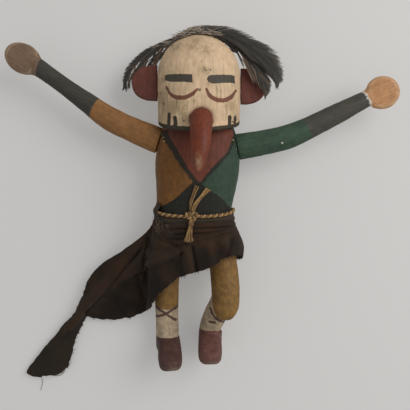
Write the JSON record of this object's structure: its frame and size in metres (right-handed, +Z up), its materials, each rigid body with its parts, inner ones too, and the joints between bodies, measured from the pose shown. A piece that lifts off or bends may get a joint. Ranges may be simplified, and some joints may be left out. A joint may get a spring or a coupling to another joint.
{
  "type": "kachina doll",
  "caption": "Carved and painted wooden kachina doll with outspread arms, domed head, long beak, ears, feathers and a wrapped cloth kilt, lying on its back.",
  "frame": {"origin": "middle of the flat between the shoulder blades, on which the doll lies", "axes": "+Z up out of the doll's front, +Y towards the top of its head, +X towards its left hand"},
  "size_m": [0.3074, 0.2771, 0.0737],
  "materials": {
    "painted_root": "matt mineral paint over carved root",
    "green_arm": "matt green and black paint",
    "ochre_arm": "matt ochre and black paint",
    "red_ear": "matt dark red paint",
    "red_beak": "worn red paint",
    "feather": "dark vane with a slight sheen",
    "cord": "twisted plant fibre",
    "cloth": "plain woven brown cloth, frayed"
  },
  "bodies": {
    "root": {"body": "painted_root", "left_arm": "green_arm", "right_arm": "ochre_arm", "left_ear": "red_ear", "right_ear": "red_ear", "beak": "red_beak", "long_left_feather": "feather", "short_left_feather": "feather", "long_right_feather": "feather", "short_right_feather": "feather", "belt": "cord", "kilt": "cloth"}
  },
  "joints": []
}
